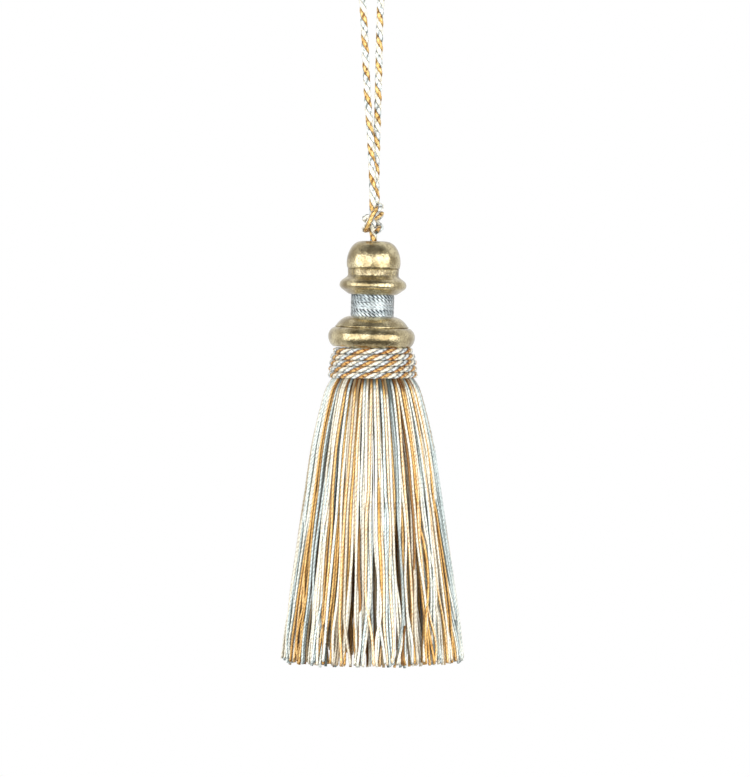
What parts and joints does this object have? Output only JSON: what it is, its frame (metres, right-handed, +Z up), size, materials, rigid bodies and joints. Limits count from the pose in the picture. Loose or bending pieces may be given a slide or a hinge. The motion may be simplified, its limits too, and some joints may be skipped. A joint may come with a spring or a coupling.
{
  "type": "key tassel",
  "caption": "Hanging key tassel: turned gilt head with a yarn-wound neck, twisted cord collar, long cut yarn skirt and a knotted cord loop.",
  "frame": {"origin": "inner top of the cord loop, where it bears on the hook, knob or key that carries it", "axes": "+Z up, along the hanging tassel; +X to the right and +Y to the back as seen from the front"},
  "size_m": [0.0609, 0.0612, 0.2432],
  "materials": {
    "antique_gilt": "satin antique gold paint on turned wood",
    "pale_blue_yarn": "lustrous two-ply yarn",
    "ochre_yarn": "lustrous two-ply yarn",
    "ivory_yarn": "lustrous two-ply yarn"
  },
  "bodies": {
    "root": {"head": "antique_gilt", "neck_wrap": "pale_blue_yarn", "collar": "ochre_yarn", "skirt": "ivory_yarn", "hanging_cord": "ivory_yarn", "knot": "ivory_yarn"}
  },
  "joints": []
}
